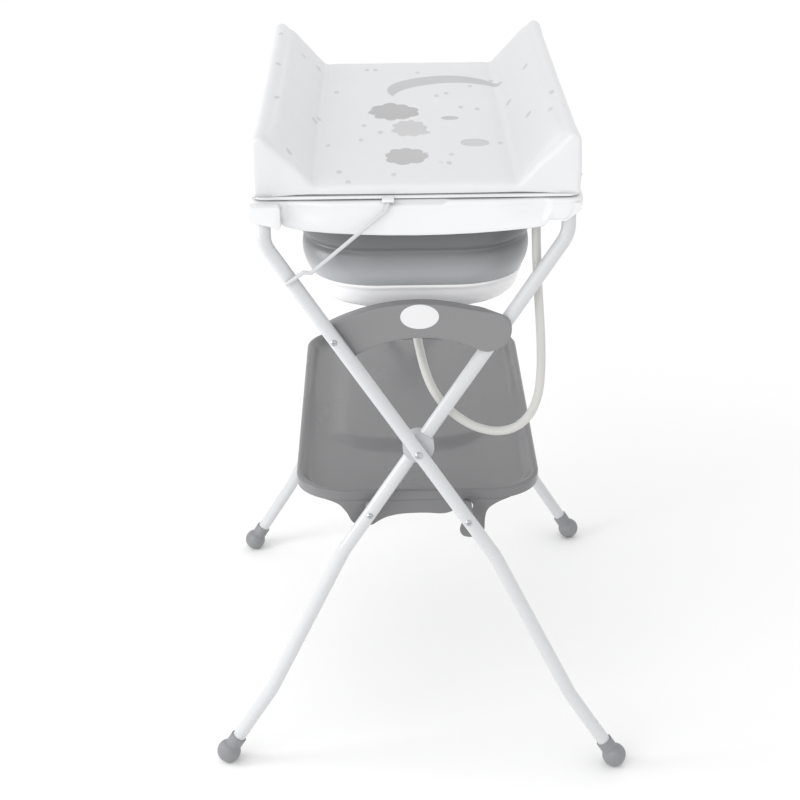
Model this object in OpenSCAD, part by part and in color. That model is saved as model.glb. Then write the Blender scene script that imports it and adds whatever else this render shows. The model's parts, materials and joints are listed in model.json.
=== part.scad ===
// Folding baby bath and changing table.
// X runs across the table, Y along it, Z up. The origin is on the floor, under the middle.
// The front end is at -Y. All sizes are in millimetres.

/* [Frame] */
// Outside diameter of the leg tubes
tube_d = 22; // [20:0.5:24]
// Wall thickness of the tubes
tube_wall = 1.2; // [1:0.1:2]
// Distance of the outer leg pair from the middle of the table
outer_plane = 420; // [415:1:425]
// Distance of the inner leg pair from the middle of the table
inner_plane = 390; // [388:1:391]
// Height of the leg crossing
cross_z = 585; // [575:1:595]
// Sideways run of a leg for each unit of height
leg_slope = 0.66; // [0.64:0.01:0.68]
// Sideways distance of each foot from the middle
foot_x = 326; // [315:1:335]
// Radius of the ball feet
foot_r = 20; // [18:0.5:21]
// Sideways distance of each leg top from the middle
top_x = 230; // [228:1:232]
// Height of the axis of the left top bar
top_z = 975; // [973:0.5:976]
// Diameter of the two low cross bars
low_bar_d = 16; // [14:0.5:17]

/* [Tub] */
// Half width of the rim
rim_x = 252; // [251:0.5:253]
// Underside of the rim plate
rim_z = 986.5; // [986.5:0.5:987]
// Height of the foot of the rim's inner collar
collar_z = 944; // [940:1:948]
// Height of the seam between the soft band and the hard base
seam_z = 846; // [840:1:850]
// Height of the underside of the tub
tub_z = 800; // [798:1:802]
// How far the base rises when the tub is pressed flat
collapse = 80; // [60:1:85]

/* [Changing mat] */
// Half length of the mat
mat_y = 400; // [390:1:404]
// Half width of the mat
mat_x = 250; // [246:1:250]
// Height of the lying surface
lying_z = 1015; // [1012:1:1020]
// Height of the side bolsters
bolster_z = 1096; // [1080:1:1110]

/* [Shelf] */
// Half width of the shelf tray
tray_x = 200; // [190:1:204]
// Half length of the shelf tray
tray_y = 365; // [350:1:368]
// Height of the tray's lip
tray_top = 494; // [490:1:498]

/* [Hose] */
// Outside diameter of the drain hose
hose_d = 14; // [12:0.5:14]

/* [Hidden] */
$fn = 64;

white = [0.93, 0.93, 0.94];
pale = [0.85, 0.85, 0.86];
grey = [0.58, 0.58, 0.59];
dark = [0.52, 0.53, 0.55];
metal = [0.7, 0.7, 0.72];
clear = [0.85, 0.84, 0.8];

tube_r = tube_d / 2;
bore_r = tube_r - tube_wall;
bar_r = low_bar_d / 2;
fit = 0.05;

// Leg outline in the X-Z plane: foot, ankle, knee, and the corner below the top
foot_z = 19.5;
ankle = [248, 141];
knee_z = 400;
knee = [(cross_z - knee_z) * leg_slope, knee_z];
corner = [-top_x, cross_z + top_x / leg_slope];
lean = atan(leg_slope);
foot_dir = (ankle - [foot_x, foot_z]) / norm(ankle - [foot_x, foot_z]);
foot_end = [foot_x, foot_z] + 4 * foot_dir;
ankle_bend = 120;
knee_bend = 150;
top_bend = 42;
inner_top_bend = 50;
bar_bend = 28;
seam_gap = 0.2;
inner_top_z = 970;

// Low cross bars, brace pivot and stay rod hole
low_z = 466;
low_x = (cross_z - low_z) * leg_slope;
brace_pivot = [-128.5, 777];
stay_hole = [-197, 875];

// Radius of the round outer corner of the ears over the outer legs
ear_r = 16;

// Fasteners
rivet_r = 4;
screw_r = 2.95;
screw_hole_r = 3;
stay_hole_r = 3.06;
hub_r = 25;

// Mat hinge
hinge_x = rim_x + 5;
hinge_z = 990.5;
hinge_y = 250;
pin_r = 2.5;
knuckle_r = 4.5;

// Drain
drain_y = -318;
drain_r = 14;
outlet_z = 772;
clip_at = [183, -365, 945];

// Centre line of the drain hose, from the outlet under the tub to the clip under the rim
HOSE = [
  [0, -318, 772], [0, -318, 758], [1, -322, 742], [5, -332, 722], [11, -345, 700],
  [20, -357, 677], [33, -364, 655], [50, -366, 635], [70, -366, 618], [94, -366, 604],
  [122, -366, 597], [147, -366, 600], [167, -366, 612], [182, -366, 633], [191, -366, 662],
  [194, -366, 696], [194, -366, 734], [192, -366, 774], [189, -366, 816], [186, -365, 860],
  [184, -365, 900], [183, -365, 928], [183, -365, 945]
];
hose_sides = 10;

// ---- helpers ----

function unit(v) = v / norm(v);
function turn(a, b) = atan2(a[0] * b[1] - a[1] * b[0], a[0] * b[0] + a[1] * b[1]);
function arc(c, r, a0, a1, n) = [for (i = [0 : n]) c + r * [cos(a0 + (a1 - a0) * i / n), sin(a0 + (a1 - a0) * i / n)]];

module both_ends() {
  children();
  mirror([0, 1, 0]) children();
}

// Draws a 2D outline given in X and Z as a slab between two values of Y
module slab(y0, y1) {
  translate([0, y1, 0]) rotate([90, 0, 0]) linear_extrude(y1 - y0) children();
}

// A round bar or bore along Y
module along_y(x, z, r, y0, y1) {
  translate([x, y1, z]) rotate([90, 0, 0]) cylinder(h = y1 - y0, r = r);
}

module rounded(hx, hy, r) {
  square([2 * hx, 2 * (hy - r)], center = true);
  square([2 * (hx - r), 2 * hy], center = true);
  for (sx = [-1, 1])
    for (sy = [-1, 1])
      translate([sx * (hx - r), sy * (hy - r)]) circle(r);
}

module thin_plate(hx, hy, r, z) {
  translate([0, 0, z]) linear_extrude(0.01) rounded(hx, hy, r, $fn = 32);
}

// A tub-like shape between two rounded rectangles
module basin(low, high, z0, z1) {
  hull() {
    thin_plate(low[0], low[1], low[2], z0);
    thin_plate(high[0], high[1], high[2], z1 - 0.01);
  }
}

module pipe(h, r, ri) {
  difference() {
    cylinder(h = h, r = r);
    translate([0, 0, -1]) cylinder(h = h + 2, r = ri);
  }
}

module bend_collar(z, r) {
  translate([0, 0, z - 1]) cylinder(h = 2, r = r + 0.1);
}

// Quarter bend from upright to level, towards the middle of the table
module top_bend_rod(r) {
  translate([-top_x, bar_bend - outer_plane, top_z - bar_bend])
    rotate([90, 0, 90]) rotate([0, 0, 90]) rotate_extrude(angle = 90) translate([bar_bend, 0]) circle(r);
}

// A solid rod along flat points with a bend radius at each inner point, in the plane Y = 0.
// A fine collar covers each place where a straight run meets a bend.
module bent_rod(points, bends, r, spare) {
  last = len(points) - 1;
  dirs = [for (i = [0 : last - 1]) unit(points[i + 1] - points[i])];
  turns = [for (i = [1 : last - 1]) turn(dirs[i - 1], dirs[i])];
  cuts = concat([0], [for (i = [1 : last - 1]) bends[i - 1] * tan(abs(turns[i - 1]) / 2)], [0]);
  rotate([90, 0, 0]) {
    for (i = [0 : last - 1]) {
      start = points[i] + cuts[i] * dirs[i];
      run = norm(points[i + 1] - points[i]) - cuts[i] - cuts[i + 1];
      low = i == 0 ? -spare : seam_gap;
      high = i == last - 1 ? run + spare : run - seam_gap;
      translate([start[0], start[1], 0]) rotate([0, 90, atan2(dirs[i][1], dirs[i][0])]) {
        translate([0, 0, low]) cylinder(h = high - low, r = r);
        if (i > 0) bend_collar(0, r);
        if (i < last - 1) bend_collar(run, r);
      }
    }
    for (i = [1 : last - 1]) {
      side = turns[i - 1] > 0 ? 1 : -1;
      start = points[i] - cuts[i] * dirs[i - 1];
      centre = start + side * bends[i - 1] * [-dirs[i - 1][1], dirs[i - 1][0]];
      from = atan2(start[1] - centre[1], start[0] - centre[0]);
      translate([centre[0], centre[1], 0])
        rotate([0, 0, side > 0 ? from : from + turns[i - 1]])
          rotate_extrude(angle = abs(turns[i - 1])) translate([bends[i - 1], 0]) circle(r);
    }
  }
}

// ---- outer frame ----

module outer_leg_rod(r) {
  path = [foot_end, ankle, knee, corner, [-top_x, top_z - bar_bend - seam_gap]];
  translate([0, -outer_plane, 0]) bent_rod(path, [ankle_bend, knee_bend, top_bend], r, 0);
  translate([-top_x, -outer_plane, 0]) bend_collar(top_z - bar_bend, r);
  top_bend_rod(r);
}

module outer_leg() {
  difference() {
    outer_leg_rod(tube_r);
    outer_leg_rod(bore_r);
    along_y(0, cross_z, rivet_r + fit, -outer_plane - 20, -outer_plane + 20);
    along_y(low_x, low_z, screw_hole_r, -outer_plane - 20, -outer_plane + 20);
    children();
  }
}

module outer_leg_front() {
  color(white) outer_leg() {
    along_y(brace_pivot[0], brace_pivot[1], screw_hole_r, -outer_plane - 20, -outer_plane + 20);
    along_y(stay_hole[0], stay_hole[1], stay_hole_r, -outer_plane - 20, -outer_plane);
  }
}

module outer_leg_rear() {
  color(white) mirror([0, 1, 0]) outer_leg();
}

module outer_top_bar() {
  end = outer_plane - bar_bend;
  color(white) translate([-top_x, end, top_z]) rotate([90, 0, 0]) pipe(2 * end, tube_r, bore_r);
}

module low_bar(x, end) {
  translate([x, end, low_z]) rotate([90, 0, 0]) pipe(2 * end, bar_r, bar_r - tube_wall);
}

module bar_plugs(x, end) {
  both_ends() translate([x, -end, low_z]) rotate([-90, 0, 0]) pipe(26, bar_r - tube_wall - fit, screw_hole_r);
}

// A pan-headed screw through a leg into the end of a cross bar
module leg_screw(x, z, plane, reach) {
  along_y(x, z, screw_r, -plane - tube_r, reach - plane);
  translate([x, -plane - tube_r, z]) rotate([90, 0, 0]) difference() {
    cylinder(h = 2.4, r1 = 5.2, r2 = 3.6);
    translate([0, 0, 1.2]) cube([6, 1.1, 3], center = true);
    translate([0, 0, 1.2]) cube([1.1, 6, 3], center = true);
  }
}

outer_bar_end = outer_plane - tube_r - 0.2;
inner_bar_end = inner_plane - tube_r - 0.2;

module outer_low_bar() {
  color(grey) low_bar(low_x, outer_bar_end);
}

module outer_bar_plugs() {
  color(grey) bar_plugs(low_x, outer_bar_end);
}

module outer_low_screws() {
  color(metal) both_ends() leg_screw(low_x, low_z, outer_plane, 30);
}

// Rubber ball foot with a collar around the tube and a small flat underneath
module ball_foot(side, plane) {
  tilt = atan2(side * foot_dir[0], foot_dir[1]);
  difference() {
    union() {
      translate([side * foot_x, -plane, foot_z]) sphere(foot_r);
      translate([side * foot_x, -plane, foot_z]) rotate([0, tilt, 0]) cylinder(h = 34, r = 13.5);
    }
    translate([side * foot_x, -plane, foot_z]) rotate([0, tilt, 0]) translate([0, 0, 4]) cylinder(h = 60, r = tube_r + fit);
    translate([side * foot_x, -plane, -50]) cube([100, 100, 100], center = true);
  }
}

module outer_feet() {
  color(dark) both_ends() ball_foot(1, outer_plane);
}

// White cap over the bend at the top of an outer leg, with a large round corner on the outside
module outer_top_cap() {
  front = -outer_plane - 13;
  back = -outer_plane + 11.5;
  difference() {
    slab(front, back) polygon(concat(
      arc([-246, 988], 6, 90, 180, 4),
      arc([-252 + ear_r, 984], ear_r, 180, 235, 8),
      [[-218, 964], [-207, 958.5], [-204, 961], [-204, 991], [-207, 994]]
    ));
    translate([-top_x, -outer_plane, 940]) cylinder(h = top_z - bar_bend - 940, r = tube_r + 0.1);
    top_bend_rod(tube_r + 0.1);
  }
}

module outer_top_caps() {
  color(white) both_ends() outer_top_cap();
}

// Rivet on which the two legs of one end turn
module pivot_rivet() {
  front = -outer_plane - tube_r;
  back = -inner_plane + 12.3;
  along_y(0, cross_z, rivet_r, front, back);
  along_y(0, cross_z, 7.5, back, back + 3);
  translate([0, front, cross_z]) rotate([90, 0, 0]) difference() {
    cylinder(h = 2.6, r1 = 6.4, r2 = 4.6);
    translate([0, 0, 1]) cylinder(h = 3, r = 2.6, $fn = 6);
  }
}

module pivot_rivets() {
  color(metal) both_ends() pivot_rivet();
}

brace_nut_r = 6.5;

module brace_screw() {
  color(metal) {
    leg_screw(brace_pivot[0], brace_pivot[1], outer_plane, 27);
    along_y(brace_pivot[0], brace_pivot[1], brace_nut_r, 27 - outer_plane, 30 - outer_plane);
  }
}

// ---- inner frame ----

inner_knee = [-knee[0], knee[1]];
inner_ankle = [-ankle[0], ankle[1]];
inner_foot_end = [-foot_end[0], foot_end[1]];
inner_corner = [-corner[0], corner[1]];
inner_top = [top_x, inner_top_z];

module hub_cut() {
  along_y(0, cross_z, hub_r + 0.2, -inner_plane - 20, -inner_plane + 20);
}

module inner_upper_rod(r, spare) {
  translate([0, -inner_plane, 0]) bent_rod([[0, cross_z], inner_corner, inner_top], [inner_top_bend], r, spare);
}

module inner_upper() {
  difference() {
    inner_upper_rod(tube_r, 0);
    inner_upper_rod(bore_r, 1);
    hub_cut();
  }
}

module inner_lower_rod(r, spare) {
  path = [inner_foot_end, inner_ankle, inner_knee, [0, cross_z]];
  translate([0, -inner_plane, 0]) bent_rod(path, [ankle_bend, knee_bend], r, spare);
}

module inner_lower() {
  difference() {
    inner_lower_rod(tube_r, 0);
    inner_lower_rod(bore_r, 1);
    hub_cut();
    along_y(-low_x, low_z, screw_hole_r, -inner_plane - 20, -inner_plane + 20);
  }
}

module inner_upper_front() {
  color(white) inner_upper();
}

module inner_upper_rear() {
  color(white) mirror([0, 1, 0]) inner_upper();
}

module inner_lower_front() {
  color(white) inner_lower();
}

module inner_lower_rear() {
  color(white) mirror([0, 1, 0]) inner_lower();
}

// Moulded hub that joins the two halves of an inner leg and turns on the rivet
module pivot_hub() {
  spigot = 46;
  difference() {
    union() {
      along_y(0, cross_z, hub_r, -inner_plane - 12, -inner_plane + 12);
      along_y(0, cross_z, 12, -outer_plane + tube_r + 0.4, -inner_plane);
      translate([0, -inner_plane, cross_z]) rotate([0, lean, 0]) translate([0, 0, -spigot])
        cylinder(h = 2 * spigot, r = bore_r - fit);
    }
    along_y(0, cross_z, rivet_r + fit, -outer_plane, -inner_plane + 20);
  }
}

module pivot_hubs() {
  color(grey) both_ends() pivot_hub();
}

module inner_low_bar() {
  color(grey) low_bar(-low_x, inner_bar_end);
}

module inner_bar_plugs() {
  color(grey) bar_plugs(-low_x, inner_bar_end);
}

module inner_low_screws() {
  color(metal) both_ends() leg_screw(-low_x, low_z, inner_plane, 30);
}

module inner_feet() {
  color(dark) both_ends() ball_foot(-1, inner_plane);
}

// Bearing block on the top of an inner leg, on which the rim rests
module inner_top_cap() {
  difference() {
    union() {
      translate([top_x, 0, 971.5]) slab(-inner_plane - 11.8, -inner_plane + 13.5) rounded(17.5, 14.3, 6);
      along_y(top_x - 22, 967, 8, -inner_plane - 11.8, -inner_plane + 13.5);
    }
    slab(-inner_plane - 20, -inner_plane + 20) polygon([
      [top_x - 6, 940], [top_x + 25, 940], [top_x + 25, 980], [top_x - 6, 957]
    ]);
    translate([top_x, -inner_plane, 940]) cylinder(h = inner_top_z + 0.2 - 940, r = tube_r + 0.1);
    along_y(top_x - 22, 967, 3, -inner_plane - 20, -inner_plane + 20);
  }
}

module inner_top_caps() {
  color(white) both_ends() inner_top_cap();
}

// ---- tub ----

rim_top = rim_z + 6;
rim_y = 405;
apron_y = 408;
collar = [185, 374, 120];
seam = [168, 368, 108];
floor_size = [137, 345, 92];

function inset(size, by) = [size[0] - by, size[1] - by, size[2] - by];

// Outline of the end apron in X and Z, with a hanging lower edge
module apron_shape() {
  polygon(concat(
    [[-rim_x, rim_top], [-rim_x, 966], [-222, 962], [-200, 952]],
    [for (x = [-172 : 43 : 172]) [x, 939 + 9 * x * x / (172 * 172)]],
    [[194, 952], [200, 960], [224, 960], [rim_x, 988], [rim_x, rim_top]]
  ));
}

// The part of the end apron that reaches down between the outer legs
module apron() {
  slab(-apron_y, -rim_y + 0.5) intersection() {
    apron_shape();
    translate([-195, 900]) square([391, 100]);
  }
  slab(-rim_y, -rim_y + 2.5) intersection() {
    apron_shape();
    translate([-206, 900]) square([457, 100]);
  }
}

module tub_rim() {
  color(white) {
    difference() {
      translate([0, 0, rim_z]) linear_extrude(rim_top - rim_z) union() {
        rounded(rim_x, rim_y, 24);
        square([2 * 195, 2 * apron_y], center = true);
      }
      translate([0, 0, rim_z - 1]) linear_extrude(20) rounded(collar[0] - 3, collar[1] - 3, collar[2] - 3);
      both_ends() translate([-42, -apron_y - 1, rim_z - 1]) cube([88, 12, 20]);
    }
    difference() {
      translate([0, 0, collar_z]) linear_extrude(rim_z - collar_z + 1) rounded(collar[0], collar[1], collar[2]);
      translate([0, 0, collar_z - 1]) linear_extrude(60) rounded(collar[0] - 3, collar[1] - 3, collar[2] - 3);
    }
    both_ends() apron();
    translate([-rim_x, -380, 964]) cube([2.5, 760, rim_top - 965]);
    translate([rim_x - 2.5, -380, 972]) cube([2.5, 760, rim_top - 973]);
  }
}

// Clips under the rim that turn on the left top bar
module rim_saddles() {
  color(white) for (y = [-250, 0, 250]) translate([0, y, 0]) difference() {
    translate([-top_x - 16, -22, 960]) cube([32, 44, rim_z - 960]);
    along_y(-top_x, top_z, tube_r + 0.06, -30, 30);
    translate([-top_x - 7, -30, 950]) cube([14, 60, 20]);
  }
}

module rim_hinge_lugs() {
  color(white) for (y = [-hinge_y, hinge_y]) for (s = [-1, 1]) difference() {
    union() {
      along_y(hinge_x, hinge_z, knuckle_r, y + s * 14 - 6, y + s * 14 + 6);
      translate([rim_x, y + s * 14 - 6, hinge_z - knuckle_r]) cube([5, 12, knuckle_r]);
    }
    along_y(hinge_x, hinge_z, pin_r + 0.04, y - 40, y + 40);
  }
}

module mat_hinge_pins() {
  color(metal) for (y = [-hinge_y, hinge_y]) along_y(hinge_x, hinge_z, pin_r, y - 22, y + 22);
}

module hose_clip() {
  color(white) difference() {
    translate([clip_at[0] - 10, clip_at[1] - 8.5, clip_at[2] - 5]) cube([20, 17, rim_z - clip_at[2] + 5]);
    translate([clip_at[0], clip_at[1], clip_at[2] - 6]) cylinder(h = 6, r = hose_d / 2 + 0.4);
  }
}

// Soft band that folds flat between the rim and the base
module tub_band() {
  color(grey) difference() {
    basin(seam, collar, seam_z, collar_z);
    basin(inset(seam, 2.5), inset(collar, 2.5), seam_z - 0.02, collar_z + 0.02);
  }
}

// Corner points of the hose's rings, square to the route
function heading(i) = unit(HOSE[min(i + 1, len(HOSE) - 1)] - HOSE[max(i - 1, 0)]);
function across(i) = unit(cross(heading(i), [0, 1, 0]));
function ring_point(i, a) = HOSE[i] + hose_d / 2 * (cos(a) * across(i) + sin(a) * cross(heading(i), across(i)));

module drain_hose() {
  rings = len(HOSE);
  points = [for (i = [0 : rings - 1]) for (k = [0 : hose_sides - 1]) ring_point(i, 360 * k / hose_sides)];
  walls = [for (i = [0 : rings - 2]) for (k = [0 : hose_sides - 1]) [
    i * hose_sides + k,
    i * hose_sides + (k + 1) % hose_sides,
    (i + 1) * hose_sides + (k + 1) % hose_sides,
    (i + 1) * hose_sides + k
  ]];
  first = [for (k = [hose_sides - 1 : -1 : 0]) k];
  end = [for (k = [0 : hose_sides - 1]) (rings - 1) * hose_sides + k];
  color(clear) polyhedron(points, concat([first], walls, [end]));
}

// Hard base of the tub, with a standing ledge and the drain hole
module tub_base() {
  color(pale) difference() {
    union() {
      basin(floor_size, seam, tub_z, seam_z);
      translate([0, 0, tub_z - 3]) linear_extrude(3.5) rounded(127, 335, 82);
    }
    basin(inset(floor_size, 3), inset(seam, 3), tub_z + 3, seam_z + 0.02);
    translate([0, drain_y, tub_z - 10]) cylinder(h = 30, r = drain_r);
  }
}

module drain_outlet() {
  color(grey) translate([0, drain_y, 0]) difference() {
    union() {
      translate([0, 0, tub_z - 6]) cylinder(h = 3, r = 19);
      translate([0, 0, outlet_z]) cylinder(h = tub_z - 5 - outlet_z, r = hose_d / 2);
    }
    translate([0, 0, outlet_z - 1]) cylinder(h = 40, r = 5);
  }
}

module drain_plug() {
  color(grey) translate([0, drain_y, 0]) {
    translate([0, 0, tub_z - 2]) cylinder(h = 5.5, r = drain_r - 0.1);
    translate([0, 0, tub_z + 3]) cylinder(h = 3, r1 = 18, r2 = 16.5);
    translate([0, 0, tub_z + 5]) cylinder(h = 7, r = 5);
  }
}

// ---- changing mat ----

board_z = 995;
board_t = 4;

// Stiff board under the mat, with a tab over the tip of the stay rod
module mat_board() {
  color(white) translate([0, 0, board_z]) linear_extrude(board_t) union() {
    rounded(mat_x - 4, mat_y - 3, 20);
    translate([-52, -417]) square([18, 40]);
  }
}

module mat_hinge_leaves() {
  color(white) for (y = [-hinge_y, hinge_y]) difference() {
    union() {
      along_y(hinge_x, hinge_z, knuckle_r, y - 7.6, y + 7.6);
      translate([215, y - 7.6, board_z - 2]) cube([hinge_x - 215, 15.2, 2]);
      translate([225, y - 20, board_z - 2]) cube([20, 40, 2]);
    }
    along_y(hinge_x, hinge_z, pin_r + fit, y - 40, y + 40);
  }
}

pad_x = 155;

module mat_pad() {
  thickness = lying_z - board_z - board_t;
  color(white) translate([-pad_x, -mat_y, board_z + board_t]) cube([2 * pad_x, 2 * mat_y, thickness]);
}

// Side bolster: a wedge with a steep inner slope, a rounded ridge and an upright outer wall
module bolster_right() {
  ridge = [232, bolster_z - 12];
  color(white) slab(-mat_y, mat_y) polygon(concat(
    [[pad_x, board_z + board_t], [mat_x, board_z + board_t], [mat_x, board_z + 20]],
    arc(ridge, 12, 0, 140, 8),
    [[pad_x, lying_z + 3]]
  ));
}

module bolster_left() {
  mirror([1, 0, 0]) bolster_right();
}

// ---- brace ----

brace_front = -407.4;
brace_back = -386;
top_arc = [0, 533];
top_arc_r = 297;
low_arc = [5, 573];
low_arc_r = 200;
brace_end = [115, 778];
brace_end_r = 31;

// Everything to the right of a line along the outer leg, a little left of its axis
module right_of_outer_leg(margin) {
  push = 7 - margin;
  polygon([
    [(600 - cross_z) * -leg_slope - push, 600], [300, 600], [300, 900], [(900 - cross_z) * -leg_slope - push, 900]
  ]);
}

// Outline of the arched brace in X and Z, drawn smaller by a margin for the inside of the shell
module brace_shape(margin) {
  intersection() {
    right_of_outer_leg(margin);
    polygon(concat(
      arc(top_arc, top_arc_r - margin, 125, 68, 18),
      arc(brace_end, brace_end_r - margin, 56, -100, 12),
      arc(low_arc, low_arc_r + margin, 62, 130, 14)
    ));
  }
}

// Everything that stays clear on the upper left of the inner leg
module left_of_inner_leg(gap) {
  push = gap / cos(lean);
  polygon([
    [-300, 600], [(600 - cross_z) * leg_slope - push, 600], [(900 - cross_z) * leg_slope - push, 900], [-300, 900]
  ]);
}

module brace_cover() {
  rib = 2.5;
  color(grey) difference() {
    union() {
      slab(brace_front, brace_front + 4) brace_shape(0);
      slab(brace_front + 3, brace_back) intersection() {
        difference() {
          brace_shape(0);
          brace_shape(rib);
        }
        left_of_inner_leg(16);
      }
      slab(brace_front + 3, brace_back) intersection() {
        brace_shape(1);
        left_of_inner_leg(16);
        difference() {
          translate([-200, 700]) square([400, 150]);
          left_of_inner_leg(16 + rib);
        }
      }
      along_y(brace_pivot[0], brace_pivot[1], 8, brace_front, -394);
    }
    along_y(brace_pivot[0], brace_pivot[1], screw_r + fit, brace_front - 10, brace_back + 10);
    along_y(brace_pivot[0], brace_pivot[1], brace_nut_r + 0.5, -393.9, brace_back + 10);
    translate([3, 0, 809]) slab(brace_front - 1, brace_front + 1.2) scale([1.5, 1]) circle(20);
  }
}

// Plain oval badge in the middle of the brace
module brace_badge() {
  color(white) translate([3, 0, 809]) slab(brace_front - 0.6, brace_front + 1.2) scale([1.5, 1]) circle(19.8);
}

// ---- stay rod ----

rod_r = 3;
rod_y = -435;
ROD = [
  [-197, -435, 875], [-172, -435, 893], [-160, -435, 892], [-46, -413, 981], [-43, -413, 991.4]
];

module stay_rod() {
  color(white) {
    along_y(stay_hole[0], stay_hole[1], rod_r, rod_y, rod_y + 10);
    for (i = [0 : len(ROD) - 2]) {
      run = ROD[i + 1] - ROD[i];
      translate(ROD[i]) rotate([0, acos(run[2] / norm(run)), atan2(run[1], run[0])]) cylinder(h = norm(run), r = rod_r);
    }
    for (p = ROD) translate(p) sphere(rod_r + 0.04);
  }
}

// ---- shelf ----

tray_floor = 476;
tray_r = 85;

// End apron of the tray in X and Z: a lobe round the left bar, then an arch up to the right bar
module tray_apron_shape() {
  polygon([
    [-150, tray_floor], [-150, 475], [-128, 468], [-117, 455], [-110, 440], [-103, 434], [-92, 432],
    [-74, 432], [-66, 440], [-50, 447], [-25, 451.5], [20, 451], [42, 451], [56, 456], [67, 467],
    [71, tray_floor]
  ]);
}

// Hook on the far side of the right bar, which the tray lifts off when it folds
module tray_hook_shape() {
  polygon([
    [88.5, tray_floor], [88.5, 462], [80.5, 447], [76, 440], [68, 430], [67, 418], [72, 410], [84, 407],
    [98, 409], [107, 418], [108, 445], [114, 460], [130, 470], [150, 475], [150, tray_floor]
  ]);
}

// The end walls' own thickness: what lies under the tray's rounded edge
module tray_wall() {
  translate([0, 0, 400]) linear_extrude(tray_floor - 400) difference() {
    rounded(tray_x, tray_y, tray_r);
    rounded(tray_x - 3, tray_y - 3, tray_r - 3);
  }
}

module shelf_tray() {
  low = [tray_x - 19, tray_y - 17, tray_r - 17];
  high = [tray_x - 4, tray_y - 4, tray_r - 4];
  color(grey) difference() {
    translate([0, 0, tray_floor]) linear_extrude(tray_top - tray_floor) rounded(tray_x, tray_y, tray_r);
    basin(low, high, tray_floor + 3, tray_top + 0.02);
  }
}

module shelf_aprons() {
  color(grey) both_ends() difference() {
    intersection() {
      tray_wall();
      slab(-tray_y - 1, -tray_y + 60) tray_apron_shape();
    }
    along_y(-low_x, low_z, bar_r + 1, -tray_y - 5, -tray_y + 60);
  }
}

module shelf_hooks() {
  color(grey) both_ends() intersection() {
    tray_wall();
    slab(-tray_y - 1, -tray_y + 60) tray_hook_shape();
  }
}

// Clips under the tray that turn on the left low bar
module shelf_clips() {
  color(grey) for (y = [-220, 0, 220]) translate([0, y, 0]) difference() {
    translate([-low_x - 13, -18, low_z - 12]) cube([26, 36, tray_floor - low_z + 12]);
    along_y(-low_x, low_z, bar_r + 0.06, -30, 30);
    translate([-low_x - 5, -30, low_z - 20]) cube([10, 60, 16]);
  }
}

outer_leg_front();
outer_leg_rear();
outer_top_bar();
outer_low_bar();
outer_bar_plugs();
outer_feet();
outer_top_caps();
pivot_rivets();
outer_low_screws();
brace_screw();
inner_upper_front();
inner_upper_rear();
inner_lower_front();
inner_lower_rear();
pivot_hubs();
inner_low_bar();
inner_bar_plugs();
inner_feet();
inner_low_screws();
inner_top_caps();
tub_rim();
rim_saddles();
rim_hinge_lugs();
mat_hinge_pins();
hose_clip();
tub_band();
drain_hose();
tub_base();
drain_outlet();
drain_plug();
mat_board();
mat_hinge_leaves();
mat_pad();
bolster_left();
bolster_right();
brace_cover();
brace_badge();
stay_rod();
shelf_tray();
shelf_aprons();
shelf_hooks();
shelf_clips();
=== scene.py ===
import json
import math

import bmesh
import bpy
import numpy as np
from mathutils import Matrix, Vector
from mathutils.geometry import delaunay_2d_cdt
from mathutils.kdtree import KDTree


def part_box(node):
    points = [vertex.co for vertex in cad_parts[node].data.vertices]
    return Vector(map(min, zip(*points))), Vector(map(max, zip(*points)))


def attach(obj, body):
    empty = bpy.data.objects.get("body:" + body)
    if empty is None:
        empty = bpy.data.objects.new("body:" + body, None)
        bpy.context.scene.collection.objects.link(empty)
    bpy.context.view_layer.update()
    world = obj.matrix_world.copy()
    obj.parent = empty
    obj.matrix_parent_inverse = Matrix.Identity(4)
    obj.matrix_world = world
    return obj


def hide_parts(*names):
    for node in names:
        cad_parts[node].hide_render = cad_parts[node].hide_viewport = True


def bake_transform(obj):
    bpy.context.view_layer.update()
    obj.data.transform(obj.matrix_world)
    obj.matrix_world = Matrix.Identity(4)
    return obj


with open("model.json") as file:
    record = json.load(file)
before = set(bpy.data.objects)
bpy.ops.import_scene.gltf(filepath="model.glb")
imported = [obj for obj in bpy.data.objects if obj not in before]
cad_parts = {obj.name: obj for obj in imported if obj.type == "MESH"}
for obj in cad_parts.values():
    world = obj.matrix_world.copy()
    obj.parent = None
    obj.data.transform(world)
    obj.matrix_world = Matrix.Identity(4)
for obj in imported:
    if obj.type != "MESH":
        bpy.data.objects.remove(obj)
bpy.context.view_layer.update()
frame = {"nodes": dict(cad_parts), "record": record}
nodes = frame["nodes"]
scene = bpy.context.scene


# ---- camera ----

CAMERA_TARGET = Vector((-0.0255, 0.0, 0.496))
CAMERA_DISTANCE = 3.432
CAMERA_ELEVATION = math.radians(23.22)
CAMERA_TURN = math.radians(-0.417)
CAMERA_ROLL = math.radians(-0.663)
CAMERA_LENS = 86.2


def make_camera():
    data = bpy.data.cameras.new("camera")
    data.lens = CAMERA_LENS
    data.sensor_width = 36
    camera = bpy.data.objects.new("camera", data)
    scene.collection.objects.link(camera)
    turn = Matrix.Rotation(CAMERA_TURN, 4, "Z")
    tilt = Matrix.Rotation(math.pi / 2 - CAMERA_ELEVATION, 4, "X")
    roll = Matrix.Rotation(CAMERA_ROLL, 4, "Z")
    back = turn @ tilt @ Vector((0, 0, CAMERA_DISTANCE))
    camera.matrix_world = Matrix.Translation(CAMERA_TARGET + back) @ turn @ tilt @ roll
    scene.camera = camera


make_camera()


# ---- mesh helpers ----

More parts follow.
